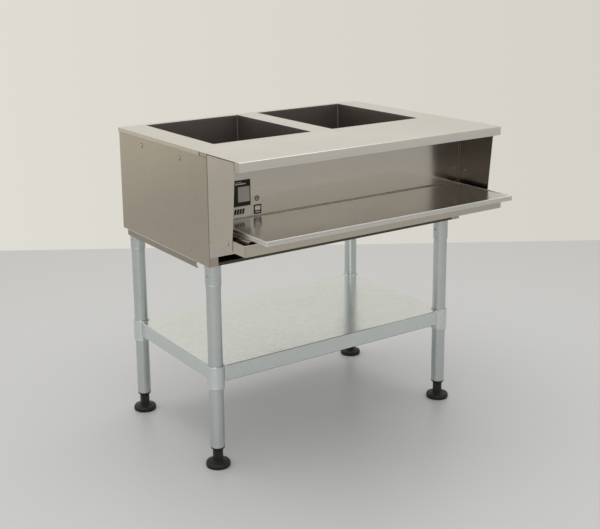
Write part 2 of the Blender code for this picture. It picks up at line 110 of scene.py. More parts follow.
def buildStudio(values):
    material, tree, shader = principled("studioFloor")
    shader.inputs["Base Color"].default_value = (*values["floorColour"], 1)
    shader.inputs["Roughness"].default_value = values["floorRoughness"]
    yaw = math.radians(cameraView["yaw"])
    heading = Vector((math.sin(yaw), math.cos(yaw), 0))
    across = Vector((heading.y, -heading.x, 0))
    deep = values["floorAhead"] + values["floorBehind"]
    centre = Vector((cameraView["place"][0], cameraView["place"][1], 0))
    centre += heading * (values["floorAhead"] - deep / 2)
    bm = bmesh.new()
    made = bmesh.ops.create_grid(bm, x_segments=1, y_segments=1, size=0.5)["verts"]
    bmesh.ops.scale(bm, vec=(values["floorWidth"], deep, 1), verts=made)
    turn = Matrix((across, heading, up)).transposed().to_4x4()
    bmesh.ops.transform(bm, matrix=Matrix.Translation(centre) @ turn, verts=bm.verts)
    mesh = bpy.data.meshes.new("floor")
    bm.to_mesh(mesh)
    bm.free()
    mesh.materials.append(material)
    floor = bpy.data.objects.new("floor", mesh)
    bpy.context.scene.collection.objects.link(floor)

    world = bpy.data.worlds.new("studio")
    world.use_nodes = True
    tree = world.node_tree
    background = tree.nodes["Background"]
    background.inputs[0].default_value = (*values["worldColour"], 1)
    place = tree.nodes.new("ShaderNodeTexCoord")
    parts = tree.nodes.new("ShaderNodeSeparateXYZ")
    shade = tree.nodes.new("ShaderNodeMapRange")
    shade.inputs["From Min"].default_value = -1.0
    shade.inputs["From Max"].default_value = 1.0
    shade.inputs["To Min"].default_value = values["worldLeft"]
    shade.inputs["To Max"].default_value = values["worldRight"]
    tree.links.new(place.outputs["Generated"], parts.inputs[0])
    tree.links.new(parts.outputs["X"], shade.inputs["Value"])
    tree.links.new(shade.outputs[0], background.inputs[1])
    bpy.context.scene.world = world
    addArea("overhead", values["overheadPlace"], values["overheadSize"], values["overheadPower"])
    addArea("front", values["frontPlace"], values["frontSize"], values["frontPower"])


def addArea(name, place, size, power):
    data = bpy.data.lights.new(name, "AREA")
    data.shape = "SQUARE"
    data.size = size
    data.energy = power
    light = bpy.data.objects.new(name, data)
    light.location = place
    light.rotation_euler = (Vector((0, 0, 0.5)) - Vector(place)).to_track_quat("-Z", "Y").to_euler()
    bpy.context.scene.collection.objects.link(light)


buildCamera(cameraView)
buildStudio(studio)
bpy.context.scene.view_settings.view_transform = "Standard"
print("stage set")

# shader groups shared by the materials


def newGroup(name, inputs, outputs):
    group = bpy.data.node_groups.new(name, "ShaderNodeTree")
    for label, kind, value in inputs:
        socket = group.interface.new_socket(label, in_out="INPUT", socket_type=kind)
        if value is not None:
            socket.default_value = value
    for label in outputs:
        group.interface.new_socket(label, in_out="OUTPUT", socket_type="NodeSocketFloat")
    return group, group.nodes.new("NodeGroupInput"), group.nodes.new("NodeGroupOutput")


def addNode(tree, kind, settings=None, values=None, links=None):
    node = tree.nodes.new(kind)
    for key, value in (settings or {}).items():
        setattr(node, key, value)
    for key, value in (values or {}).items():
        node.inputs[key].default_value = value
    for key, socket in (links or {}).items():
        tree.links.new(socket, node.inputs[key])
    return node


def calc(tree, operation, first, second=None, clamp=False):
    node = tree.nodes.new("ShaderNodeMath")
    node.operation = operation
    node.use_clamp = clamp
    for place, given in enumerate((first, second)):
        if given is None:
            continue
        if isinstance(given, (int, float)):
            node.inputs[place].default_value = given
        else:
            tree.links.new(given, node.inputs[place])
    return node.outputs[0]


def spread(tree, socket, low, high, toLow=0.0, toHigh=1.0):
    values = {"From Min": low, "From Max": high, "To Min": toLow, "To Max": toHigh}
    node = addNode(tree, "ShaderNodeMapRange", {"clamp": True}, values, {"Value": socket})
    return node.outputs[0]


def noise(tree, vector, scale, detail=3.0, roughness=0.5, distortion=0.0):
    values = {"Scale": scale, "Detail": detail, "Roughness": roughness, "Distortion": distortion}
    return addNode(tree, "ShaderNodeTexNoise", None, values, {"Vector": vector}).outputs["Fac"]


def stretched(tree, vector, stretch):
    node = addNode(tree, "ShaderNodeVectorMath", {"operation": "MULTIPLY"}, None, {0: vector})
    if isinstance(stretch, tuple):
        node.inputs[1].default_value = stretch
    else:
        tree.links.new(stretch, node.inputs[1])
    return node.outputs[0]


def makeGrainGroup():
    inputs = [("Vector", "NodeSocketVector", None), ("Stretch", "NodeSocketVector", (6, 900, 900))]
    group, given, result = newGroup("brushedGrain", inputs, ["Height", "Streaks"])
    long = stretched(group, given.outputs["Vector"], given.outputs["Stretch"])
    fine = noise(group, long, 1.0, 3.0, 0.6)
    broad = noise(group, stretched(group, long, (0.25, 0.12, 0.12)), 1.0, 2.0)
    group.links.new(fine, result.inputs["Height"])
    group.links.new(spread(group, broad, 0.3, 0.7), result.inputs["Streaks"])
    return group


def makeHandlingGroup():
    inputs = [("Vector", "NodeSocketVector", None), ("Scale", "NodeSocketFloat", 5.0)]
    group, given, result = newGroup("handlingMarks", inputs, ["Smudges", "Scratches", "Tone"])
    vector = given.outputs["Vector"]
    values = {"Detail": 4.0, "Distortion": 0.6}
    smudge = addNode(group, "ShaderNodeTexNoise", None, values, {"Vector": vector})
    group.links.new(given.outputs["Scale"], smudge.inputs["Scale"])
    group.links.new(spread(group, smudge.outputs["Fac"], 0.42, 0.68), result.inputs["Smudges"])
    lines = noise(group, stretched(group, vector, (1.0, 1.7, 2.6)), 9.0, 1.0, 0.4, 1.2)
    apart = calc(group, "ABSOLUTE", calc(group, "SUBTRACT", lines, 0.5))
    thin = spread(group, apart, 0.0, 0.006, 1.0, 0.0)
    broken = spread(group, noise(group, vector, 17.0, 1.0), 0.52, 0.60)
    group.links.new(calc(group, "MULTIPLY", thin, broken), result.inputs["Scratches"])
    group.links.new(spread(group, noise(group, vector, 2.2, 2.0), 0.3, 0.7), result.inputs["Tone"])
    return group


def makeWavesGroup():
    inputs = [("Vector", "NodeSocketVector", None)]
    group, given, result = newGroup("sheetWaves", inputs, ["Height"])
    slow = noise(group, given.outputs["Vector"], 3.2, 1.0, 0.4)
    quick = noise(group, given.outputs["Vector"], 11.0, 1.0, 0.4)
    both = calc(group, "ADD", slow, calc(group, "MULTIPLY", quick, 0.18))
    group.links.new(both, result.inputs["Height"])
    return group


def makeDustGroup():
    inputs = [("Vector", "NodeSocketVector", None)]
    group, given, result = newGroup("settledDust", inputs, ["Mask"])
    facing = group.nodes.new("ShaderNodeNewGeometry")
    parts = addNode(group, "ShaderNodeSeparateXYZ", None, None, {0: facing.outputs["Normal"]})
    level = spread(group, parts.outputs["Z"], 0.55, 0.95)
    cloud = spread(group, noise(group, given.outputs["Vector"], 6.0, 5.0, 0.62), 0.35, 0.75)
    specks = spread(group, noise(group, given.outputs["Vector"], 420.0, 1.0), 0.66, 0.72)
    both = calc(group, "ADD", calc(group, "MULTIPLY", cloud, 0.7), calc(group, "MULTIPLY", specks, 0.6))
    group.links.new(calc(group, "MULTIPLY", level, both, True), result.inputs["Mask"])
    return group


def makeEdgeGroup():
    group, given, result = newGroup("edgeRub", [("Vector", "NodeSocketVector", None)], ["Mask"])
    facing = group.nodes.new("ShaderNodeNewGeometry")
    edge = spread(group, facing.outputs["Pointiness"], 0.51, 0.58)
    breakup = spread(group, noise(group, given.outputs["Vector"], 60.0, 3.0), 0.3, 0.6, 0.3, 1.0)
    group.links.new(calc(group, "MULTIPLY", edge, breakup), result.inputs["Mask"])
    return group


def makeSpangleGroup():
    inputs = [("Vector", "NodeSocketVector", None), ("Scale", "NodeSocketFloat", 90.0)]
    group, given, result = newGroup("zincSpangle", inputs, ["Cells", "Bloom"])
    vector = given.outputs["Vector"]
    values = {"Scale": 60.0, "Detail": 2.0}
    warp = addNode(group, "ShaderNodeTexNoise", None, values, {"Vector": vector}).outputs["Color"]
    bend = addNode(group, "ShaderNodeVectorMath", {"operation": "SCALE"}, {"Scale": 0.006}, {0: warp})
    links = {0: vector, 1: bend.outputs[0]}
    moved = addNode(group, "ShaderNodeVectorMath", {"operation": "ADD"}, None, links)
    cells = addNode(group, "ShaderNodeTexVoronoi", None, None, {"Vector": moved.outputs[0]})
    group.links.new(given.outputs["Scale"], cells.inputs["Scale"])
    grey = addNode(group, "ShaderNodeSeparateColor", None, None, {0: cells.outputs["Color"]})
    group.links.new(grey.outputs[0], result.inputs["Cells"])
    bloom = spread(group, noise(group, given.outputs["Vector"], 7.0, 4.0, 0.6), 0.4, 0.75)
    group.links.new(bloom, result.inputs["Bloom"])
    return group


grainGroup = makeGrainGroup()
handlingGroup = makeHandlingGroup()
wavesGroup = makeWavesGroup()
dustGroup = makeDustGroup()
edgeGroup = makeEdgeGroup()
spangleGroup = makeSpangleGroup()


def useGroup(tree, group, vector, values=None):
    node = addNode(tree, "ShaderNodeGroup", {"node_tree": group}, None, None)
    tree.links.new(vector, node.inputs["Vector"])
    for key, value in (values or {}).items():
        node.inputs[key].default_value = value
    return node


def blendColour(tree, factor, first, second):
    node = tree.nodes.new("ShaderNodeMix")
    node.data_type = "RGBA"
    tree.links.new(factor, node.inputs[0])
    for place, given in ((6, first), (7, second)):
        if isinstance(given, tuple):
            node.inputs[place].default_value = (*given, 1)
        else:
            tree.links.new(given, node.inputs[place])
    return node.outputs[2]


def bumpOnto(tree, height, distance, strength=1.0, normal=None):
    links = {"Height": height}
    if normal:
        links["Normal"] = normal
    node = addNode(tree, "ShaderNodeBump", None, {"Distance": distance, "Strength": strength}, links)
    return node.outputs[0]


# materials

along = {"x": (5, 900, 900), "y": (900, 5, 900), "z": (900, 900, 5)}  # which way the brushing runs

steelLooks = {
    "ledgeSteel": {
        "colour": (0.735, 0.715, 0.682),
        "shade": (0.698, 0.679, 0.648),
        "roughness": 0.28,
        "grain": "x",
        "dust": 0.08,
        "waves": 0.0002,
    },
    "bodySteel": {
        "colour": (0.44, 0.395, 0.325),
        "shade": (0.418, 0.375, 0.309),
        "roughness": 0.27,
        "grain": "z",
        "dust": 0.05,
        "waves": 0.0003,
    },
    "wallSteel": {
        "colour": (0.585, 0.55, 0.5),
        "shade": (0.556, 0.522, 0.475),
        "roughness": 0.17,
        "grain": "x",
        "dust": 0.05,
        "waves": 0.0002,
    },
    "plateSteel": {
        "colour": (0.549, 0.511, 0.441),
        "shade": (0.522, 0.485, 0.419),
        "roughness": 0.27,
        "grain": "z",
        "dust": 0.05,
        "waves": 0.0002,
    },
    "traySteel": {
        "colour": (0.6, 0.585, 0.57),
        "shade": (0.57, 0.556, 0.541),
        "roughness": 0.15,
        "grain": "x",
        "dust": 0.08,
        "waves": 0.0001,
    },
    # painted shade: dark steel for the walls inside the wells
    "shadedWellSteel": {
        "colour": (0.25, 0.225, 0.215),
        "shade": (0.237, 0.214, 0.204),
        "roughness": 0.4,
        "grain": "z",
        "dust": 0.05,
        "waves": 0,
    },
    # painted highlight: pale steel for the tray's raised rim and for thin bright strips along edges
    "highlightSteel": {
        "colour": (0.86, 0.85, 0.82),
        "shade": (0.80, 0.79, 0.76),
        "roughness": 0.38,
        "grain": "x",
        "dust": 0.05,
        "waves": 0.0,
    },
    "railSteel": {
        "colour": (0.36, 0.322, 0.262),
        "shade": (0.335, 0.3, 0.244),
        "roughness": 0.3,
        "grain": "y",
        "dust": 0.05,
        "waves": 0.0,
    },
    "lipSteel": {
        "colour": (0.66, 0.65, 0.63),
        "shade": (0.62, 0.61, 0.592),
        "roughness": 0.36,
        "grain": "x",
        "dust": 0.05,
        "waves": 0.0,
    },
    # painted shade: near-black steel for faces that sit in shadow
    "paintedShadeSteel": {
        "colour": (0.09, 0.08, 0.07),
        "shade": (0.085, 0.076, 0.067),
        "roughness": 0.30,
        "grain": "z",
        "dust": 0.02,
        "waves": 0.0,
    },
    # painted shade: near-black steel for the bottom pan, which lies in deep shadow under the body
    "shadedPanSteel": {
        "colour": (0.11, 0.095, 0.072),
        "shade": (0.095, 0.082, 0.062),
        "roughness": 0.55,
        "grain": "x",
        "dust": 0.02,
        "waves": 0.0,
    },
    "screwSteel": {
        "colour": (0.62, 0.61, 0.58),
        "shade": (0.50, 0.49, 0.46),
        "roughness": 0.25,
        "grain": "z",
        "dust": 0.05,
        "waves": 0.0,
    },
    "sheathSteel": {
        "colour": (0.14, 0.13, 0.12),
        "shade": (0.09, 0.08, 0.075),
        "roughness": 0.5,
        "grain": "x",
        "dust": 0.0,
        "waves": 0.0,
    },
}


def steel(name):
    look = steelLooks[name]
    material, tree, shader = principled(name)
    place = tree.nodes.new("ShaderNodeTexCoord").outputs["Object"]
    grain = useGroup(tree, grainGroup, place, {"Stretch": along[look["grain"]]})
    marks = useGroup(tree, handlingGroup, place)
    dust = useGroup(tree, dustGroup, place)
    mottled = blendColour(tree, marks.outputs["Tone"], look["colour"], look["shade"])
    lighter = tuple(min(1.0, c * 1.12) for c in look["colour"])
    streaky = blendColour(tree, calc(tree, "MULTIPLY", grain.outputs["Streaks"], 0.08), mottled, lighter)
    dusty = calc(tree, "MULTIPLY", dust.outputs["Mask"], look["dust"])
    coloured = blendColour(tree, dusty, streaky, (0.62, 0.60, 0.56))
    tree.links.new(coloured, shader.inputs["Base Color"])
    metal = calc(tree, "SUBTRACT", 1.0, calc(tree, "MULTIPLY", dusty, 0.8), True)
    tree.links.new(metal, shader.inputs["Metallic"])
    rough = calc(tree, "ADD", look["roughness"], calc(tree, "MULTIPLY", marks.outputs["Smudges"], 0.04))
    rough = calc(tree, "ADD", rough, calc(tree, "MULTIPLY", grain.outputs["Streaks"], 0.01))
    rough = calc(tree, "ADD", rough, calc(tree, "MULTIPLY", marks.outputs["Scratches"], 0.04))
    rough = calc(tree, "ADD", rough, calc(tree, "MULTIPLY", dusty, 1.2), True)
    tree.links.new(rough, shader.inputs["Roughness"])
    normal = bumpOnto(tree, grain.outputs["Height"], 0.00001, 0.5)
    normal = bumpOnto(tree, marks.outputs["Scratches"], -0.000006, 0.4, normal)
    if look["waves"]:
        waves = useGroup(tree, wavesGroup, place)
        normal = bumpOnto(tree, waves.outputs["Height"], look["waves"], 0.5, normal)
    tree.links.new(normal, shader.inputs["Normal"])
    return material


zincLooks = {
    "legZinc": {
        "colour": (0.53, 0.575, 0.575),
        "shade": (0.503, 0.546, 0.546),
        "bloom": (0.56, 0.6, 0.6),
        "roughness": 0.30,
        "cells": 160.0,
        "waves": 0.0,
    },
    "hemZinc": {
        "colour": (0.65, 0.7, 0.7),
        "shade": (0.617, 0.665, 0.665),
        "bloom": (0.68, 0.72, 0.72),
        "roughness": 0.30,
        "cells": 120.0,
        "waves": 0.0,
    },
    "shelfZinc": {
        "colour": (0.8, 0.84, 0.845),
        "shade": (0.76, 0.798, 0.803),
        "bloom": (0.82, 0.85, 0.85),
        "roughness": 0.15,
        "cells": 85.0,
        "waves": 0.0002,
    },
}


def zinc(name):
    look = zincLooks[name]
    material, tree, shader = principled(name)
    place = tree.nodes.new("ShaderNodeTexCoord").outputs["Object"]
    spangle = useGroup(tree, spangleGroup, place, {"Scale": look["cells"]})
    marks = useGroup(tree, handlingGroup, place)
    dust = useGroup(tree, dustGroup, place)
    cells = blendColour(tree, spangle.outputs["Cells"], look["colour"], look["shade"])
    bloom = blendColour(tree, calc(tree, "MULTIPLY", spangle.outputs["Bloom"], 0.5), cells, look["bloom"])
    dusty = calc(tree, "MULTIPLY", dust.outputs["Mask"], 0.05)
    tree.links.new(blendColour(tree, dusty, bloom, (0.60, 0.58, 0.54)), shader.inputs["Base Color"])
    tree.links.new(calc(tree, "SUBTRACT", 0.96, dusty), shader.inputs["Metallic"])
    rough = calc(tree, "ADD", look["roughness"], calc(tree, "MULTIPLY", spangle.outputs["Cells"], 0.025))
    rough = calc(tree, "ADD", rough, calc(tree, "MULTIPLY", spangle.outputs["Bloom"], 0.05))
    rough = calc(tree, "ADD", rough, calc(tree, "MULTIPLY", marks.outputs["Smudges"], 0.04))
    tree.links.new(rough, shader.inputs["Roughness"])
    normal = bumpOnto(tree, spangle.outputs["Cells"], 0.000004, 0.3)
    normal = bumpOnto(tree, marks.outputs["Scratches"], -0.000006, 0.4, normal)
    if look["waves"]:
        waves = useGroup(tree, wavesGroup, place)
        normal = bumpOnto(tree, waves.outputs["Height"], look["waves"], 0.5, normal)
    tree.links.new(normal, shader.inputs["Normal"])
    return material


plasticLooks = {
    "footPlastic": {
        "colour": (0.007, 0.0075, 0.007),
        "worn": (0.022, 0.022, 0.021),
        "roughness": 0.46,
        "bump": 0.00012,
    },
    "labelBlack": {
        "colour": (0.005, 0.005, 0.004),
        "worn": (0.018, 0.016, 0.013),
        "roughness": 0.45,
        "bump": 0.00002,
    },
    "labelGrey": {
        "colour": (0.40, 0.38, 0.34),
        "worn": (0.46, 0.44, 0.40),
        "roughness": 0.40,
        "bump": 0.00002,
    },
    "labelPale": {
        "colour": (0.66, 0.64, 0.60),
        "worn": (0.56, 0.54, 0.50),
        "roughness": 0.38,
        "bump": 0.00002,
    },
    "boxGrey": {
        "colour": (0.33, 0.34, 0.35),
        "worn": (0.45, 0.46, 0.46),
        "roughness": 0.5,
        "bump": 0.00005,
    },
    # painted shadow: near-black colour for the strips in the joints, the shelf corner and round the screw
    # heads
    "paintedJointShadow": {
        "colour": (0.030, 0.027, 0.021),
        "worn": (0.055, 0.048, 0.038),
        "roughness": 0.9,
        "bump": 0.0001,
    },
    "jointShade": {
        "colour": (0.15, 0.128, 0.10),
        "worn": (0.20, 0.175, 0.14),
        "roughness": 0.8,
        "bump": 0.0001,
    },
    "woolYellow": {
        "colour": (0.55, 0.47, 0.24),
        "worn": (0.40, 0.33, 0.16),
        "roughness": 0.95,
        "bump": 0.0015,
    },
}


def plastic(name):
    look = plasticLooks[name]
    material, tree, shader = principled(name)
    place = tree.nodes.new("ShaderNodeTexCoord").outputs["Object"]
    marks = useGroup(tree, handlingGroup, place, {"Scale": 40.0})
    dust = useGroup(tree, dustGroup, place)
    edge = useGroup(tree, edgeGroup, place)
    rub = calc(tree, "MULTIPLY", edge.outputs["Mask"], 0.6)
    rubbed = blendColour(tree, rub, look["colour"], look["worn"])
    smudged = calc(tree, "MULTIPLY", marks.outputs["Smudges"], 0.18)
    patchy = blendColour(tree, smudged, rubbed, look["worn"])
    dusty = calc(tree, "MULTIPLY", dust.outputs["Mask"], 0.04)
    tree.links.new(blendColour(tree, dusty, patchy, (0.42, 0.40, 0.37)), shader.inputs["Base Color"])
    rough = calc(tree, "ADD", look["roughness"], smudged, True)
    tree.links.new(rough, shader.inputs["Roughness"])
    shader.inputs["Specular IOR Level"].default_value = 0.3
    stipple = noise(tree, place, 1400.0, 2.0)
    normal = bumpOnto(tree, stipple, look["bump"], 0.5)
    tree.links.new(normal, shader.inputs["Normal"])
    return material


def makeRubber():
    material, tree, shader = principled("sealRubber")
    place = tree.nodes.new("ShaderNodeTexCoord").outputs["Object"]
    cloud = noise(tree, place, 90.0, 3.0)
    colour = blendColour(tree, cloud, (0.010, 0.010, 0.010), (0.03, 0.03, 0.03))
    tree.links.new(colour, shader.inputs["Base Color"])
    tree.links.new(spread(tree, cloud, 0.3, 0.7, 0.6, 0.85), shader.inputs["Roughness"])
    return material


looks = {name: steel(name) for name in steelLooks}
looks.update({name: zinc(name) for name in zincLooks})
looks.update({name: plastic(name) for name in plasticLooks})
looks["sealRubber"] = makeRubber()
print("materials made:", len(looks))

# shapes and finishing


def addBox(bm, low, high):
    low = Vector(low)
    high = Vector(high)
    made = bmesh.ops.create_cube(bm, size=1.0)["verts"]
    bmesh.ops.scale(bm, vec=high - low, verts=made)
    bmesh.ops.translate(bm, vec=(low + high) / 2, verts=made)
    return made


def addRod(bm, start, end, radius, endRadius=None, sides=24):
    start = Vector(start)
    end = Vector(end)
    turn = (end - start).to_track_quat("Z", "Y").to_matrix().to_4x4()
    return bmesh.ops.create_cone(
        bm,
        cap_ends=True,
        segments=sides,
        radius1=radius,
        radius2=radius if endRadius is None else endRadius,
        depth=(end - start).length,
        matrix=Matrix.Translation((start + end) / 2) @ turn,
    )["verts"]


def addTurned(bm, outline, centre=(0, 0, 0), outward=None, steps=48):
    before = set(bm.verts)
    verts = [bm.verts.new((radius, 0, height)) for radius, height in outline]
    edges = [bm.edges.new(pair) for pair in zip(verts, verts[1:])]
    bmesh.ops.spin(
        bm,
        geom=verts + edges,
        cent=(0, 0, 0),
        axis=(0, 0, 1),
        dvec=(0, 0, 0),
        angle=math.tau,
        steps=steps,
        use_merge=True,
    )
    made = [v for v in bm.verts if v not in before]
    bmesh.ops.remove_doubles(bm, verts=made, dist=0.00002)
    made = [v for v in bm.verts if v not in before]
    turn = Vector(outward).to_track_quat("Z", "Y").to_matrix().to_4x4() if outward else Matrix.Identity(4)
    bmesh.ops.transform(bm, matrix=Matrix.Translation(centre) @ turn, verts=made)
    faces = [f for f in bm.faces if f.verts[0] in set(made)]
    bmesh.ops.recalc_face_normals(bm, faces=faces)
    return made


def roundEdges(bm, edges, width, segments):
    bmesh.ops.bevel(
        bm,
        geom=edges,
        offset=width,
        segments=segments,
        profile=0.5,
        affect="EDGES",
        clamp_overlap=True,
        material=-1,
    )


def soften(bm, width, segments=2, degrees=35):
    limit = math.radians(degrees)
    sharp = [e for e in bm.edges if len(e.link_faces) == 2 and e.calc_face_angle(0) > limit]
    roundEdges(bm, sharp, width, segments)


def edgesAmong(edges, verts):
    return [e for e in edges if e.verts[0] in verts and e.verts[1] in verts]


def facesOf(place, thick):
    return place - thick, place + thick


def finishPiece(name, bm, look, body="table", stands=(), smooth=35, weighted=True):
    mesh = bpy.data.meshes.new(name)
    bm.to_mesh(mesh)
    bm.free()
    mesh.materials.append(looks[look])
    mesh.shade_smooth()
    mesh.set_sharp_from_angle(angle=math.radians(smooth))
    piece = bpy.data.objects.new(name, mesh)
    bpy.context.scene.collection.objects.link(piece)
    if weighted:
        even = piece.modifiers.new("even", "WEIGHTED_NORMAL")
        even.keep_sharp = True
    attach(piece, body)
    if stands:
        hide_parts(*stands)
    return piece


def sheetFrom(node, look, edge=0.0004, body="table"):
    # the folded sheet itself, its triangles joined into whole faces and its cut edges broken
    bm = bmesh.new()
    bm.from_mesh(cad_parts[node].data)
    bmesh.ops.remove_doubles(bm, verts=bm.verts, dist=0.00002)
    bmesh.ops.dissolve_limit(bm, angle_limit=math.radians(0.5), verts=bm.verts, edges=bm.edges)
    soften(bm, edge)
    return finishPiece(node + "_sheet", bm, look, body, [node])


def relook(piece, look, wanted):
    # the faces that pass the test take a second look
    piece.data.materials.append(looks[look])
    index = len(piece.data.materials) - 1
    for face in piece.data.polygons:
        if wanted(face):
            face.material_index = index


def dress(node, look):
    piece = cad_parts[node]
    piece.data.materials.clear()
    piece.data.materials.append(looks[look])


def middleOf(node):
    low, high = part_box(node)
    return (low + high) / 2


# sheet metal

sheets = {
    "top_sheet": "ledgeSteel",
    "work_ledge": "ledgeSteel",
    "side_panel_left": "bodySteel",
    "side_panel_right": "bodySteel",
    "front_panel": "wallSteel",
    "back_panel": "bodySteel",
    "bottom_pan": "shadedPanSteel",
    "side_rail_left": "railSteel",
    "side_rail_right": "railSteel",
    "end_plate_left": "plateSteel",
    "end_plate_right": "plateSteel",
    "support_pan": "plateSteel",
    "tray_support_left": "bodySteel",
    "tray_support_right": "bodySteel",
    "well_liner_left": "shadedWellSteel",
    "well_liner_right": "shadedWellSteel",
    "undershelf": "shelfZinc",
}
made = {name: sheetFrom(name, look) for name, look in sheets.items()}


def insideWell(face):
    return abs(face.normal.z) < 0.5 and abs(face.center.x) < 0.39 and -0.08 < face.center.y < 0.38


# painted shade on the top sheet's faces inside the well openings
relook(made["top_sheet"], "shadedWellSteel", insideWell)
# painted shade: the undershelf's upright faces take the darker hem zinc
relook(made["undershelf"], "hemZinc", lambda face: abs(face.normal.z) < 0.5)
# painted shade on the inner face of the right end plate
relook(made["end_plate_right"], "paintedShadeSteel", lambda face: face.normal.x < -0.5)
# painted shade: the side faces of the top sheet and ledge take the darker plate steel
for name in ("top_sheet", "work_ledge"):
    relook(made[name], "plateSteel", lambda face: abs(face.normal.x) > 0.5 and abs(face.center.x) > 0.44)
hiddenLooks = {"heating_element": "sheathSteel", "well_jacket": "woolYellow", "thermostat": "boxGrey"}
for hidden, hiddenLook in hiddenLooks.items():
    for side in sides:
        dress(f"{hidden}_{side}", hiddenLook)
# painted shade on the rails' front ends, standing for the dark hollow of the channel
for side in sides:
    relook(made[f"side_rail_{side}"], "paintedShadeSteel", lambda face: face.normal.y < -0.5)
dress("terminal_box", "boxGrey")
dress("terminal_cover", "boxGrey")
print("sheet metal made")

# tray

trayShape = {
    "bead": 0.0066,
    "corner": 0.0022,
    "sink": 0.0018,
    "sheet": 0.0010,
    "rivetIn": 0.0125,
    "rivetRadius": 0.0022,
}


def addRing(bm, low, high, inwards, height):
    # a rectangle of edges set in from the outline and lifted
    turn = Matrix.Rotation(math.radians(45), 4, "Z")
    radius = math.sqrt(0.5)
    made = bmesh.ops.create_circle(bm, cap_ends=False, segments=4, radius=radius, matrix=turn)["verts"]
    size = (high.x - low.x - 2 * inwards, high.y - low.y - 2 * inwards, 1)
    bmesh.ops.scale(bm, vec=size, verts=made)
    bmesh.ops.translate(bm, vec=((low.x + high.x) / 2, (low.y + high.y) / 2, height), verts=made)
    return made


def buildTray(values):
    low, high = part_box("tray")
    top = high.z
    bead = values["bead"]
    deep = top - values["sink"]
    # from the rim's lower edge, up its outer face, over the bead and down to the sunk middle
    profile = [
        (0.0002, low.z),
        (0.0, low.z + 0.0004),
        (0.0, low.z + 0.0048),
        (0.0008, low.z + 0.0056),
        (0.0008, top - 0.0058),
        (0.0, top - 0.0050),
        (0.0, top - 0.0014),
        (0.0005, top - 0.0004),
        (0.0015, top),
        (bead - 0.0024, top),
        (bead - 0.0014, top - 0.0004),
        (bead - 0.0004, deep + 0.0004),
        (bead + 0.0006, deep),
    ]
    bm = bmesh.new()
    rings = [addRing(bm, low, high, inwards, height) for inwards, height in profile]
    for first, second in zip(rings, rings[1:]):
        loops = edgesAmong(bm.edges, set(first)) + edgesAmong(bm.edges, set(second))
        bmesh.ops.bridge_loops(bm, edges=loops)
    bmesh.ops.contextual_create(bm, geom=edgesAmong(bm.edges, set(rings[-1])))
    own = {v: number for number, ring in enumerate(rings) for v in ring}
    slant = [e for e in bm.edges if own[e.verts[0]] != own[e.verts[1]]]
    roundEdges(bm, slant, values["corner"], 4)
    bmesh.ops.recalc_face_normals(bm, faces=bm.faces)
    if max(bm.faces, key=lambda f: f.calc_area()).normal.z < 0:
        bmesh.ops.reverse_faces(bm, faces=bm.faces)
    piece = finishPiece("tray_body", bm, "traySteel", "tray", ["tray"], weighted=False)
    # the raised rim and bead take the pale steel as a painted highlight
    relook(piece, "highlightSteel", lambda face: face.center.z > deep + 0.0001)
    relook(piece, "lipSteel", lambda face: face.normal.z < 0.5 and face.center.z < top - 0.0014)
    wall = piece.modifiers.new("wall", "SOLIDIFY")
    wall.thickness = values["sheet"]
    wall.offset = -1
    even = piece.modifiers.new("even", "WEIGHTED_NORMAL")
    even.keep_sharp = True
    bm = bmesh.new()
    middle = (low + high) / 2
    for sign in sides.values():
        inset = values["rivetIn"]
        place = Vector((middle.x + sign * (high.x - middle.x - inset), low.y + inset, deep))
        radius = values["rivetRadius"]
        outline = [(0, 0.0006), (radius * 0.6, 0.0004), (radius, -0.0002), (radius, -0.0008), (0, -0.0008)]
        addTurned(bm, outline, place, steps=20)
    finishPiece("tray_rivets", bm, "screwSteel", "tray")


buildTray(trayShape)
print("tray made")

# legs, collars and feet

legShape = {"wall": 0.0015, "round": 0.0008, "steps": 64}
socketShape = {"roll": 0.0010, "wall": 0.0018}
collarShape = {"roll": 0.0009, "groove": 0.004, "earLength": 0.045, "earThickness": 0.003}
setScrewShape = {"seat": 0.0212, "radius": 0.0029, "height": 0.0046}
footShape = {
    "padHeight": 0.0165,
    "neckRadius": 0.0127,
    "neckSides": 6,
    "notches": 8,
    "notchDepth": 0.0022,
    "notchHeight": 0.0045,
}


def buildTube(corner):
    low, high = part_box(f"leg_tube_{corner}")
    centre = (low + high) / 2
    radius = (high.x - low.x) / 2
    r = legShape["round"]
    inner = radius - legShape["wall"]
    outline = [(inner, high.z), (radius - r, high.z), (radius, high.z - r), (radius, low.z + r)]
    outline += [(radius - r, low.z), (inner, low.z), (inner, high.z)]
    bm = bmesh.new()
    addTurned(bm, outline, (centre.x, centre.y, 0), steps=legShape["steps"])
    finishPiece(f"leg_tube_{corner}_tube", bm, "legZinc", stands=[f"leg_tube_{corner}"])


def buildSocket(corner):
    low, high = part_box(f"leg_socket_{corner}")
    centre = (low + high) / 2
    radius = (high.x - low.x) / 2
    tubeLow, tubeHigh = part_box(f"leg_tube_{corner}")
    bore = (tubeHigh.x - tubeLow.x) / 2 + 0.0003
    roof = tubeHigh.z + 0.0003
    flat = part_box("bottom_pan")[0].z - 0.0003
    r = socketShape["roll"]
    stud = 0.005
    outline = [
        (0, high.z),
        (stud - 0.0008, high.z),
        (stud, high.z - 0.0008),
        (stud, flat),
        (radius - r, flat),
        (radius, flat - r),
        (radius, low.z + 0.0065),
        (radius - 0.0006, low.z + 0.0055),
        (radius - 0.0006, low.z + 0.0045),
        (radius, low.z + 0.0035),
        (radius, low.z + r),
        (radius - 0.4 * r, low.z),
        (bore, low.z),
        (bore, roof),
        (0, roof),
    ]
    bm = bmesh.new()
    addTurned(bm, outline, (centre.x, centre.y, 0), steps=legShape["steps"])
    finishPiece(f"leg_socket_{corner}_cup", bm, "legZinc", stands=[f"leg_socket_{corner}"])
    buildSetScrew(corner, Vector((centre.x, centre.y, 0)))


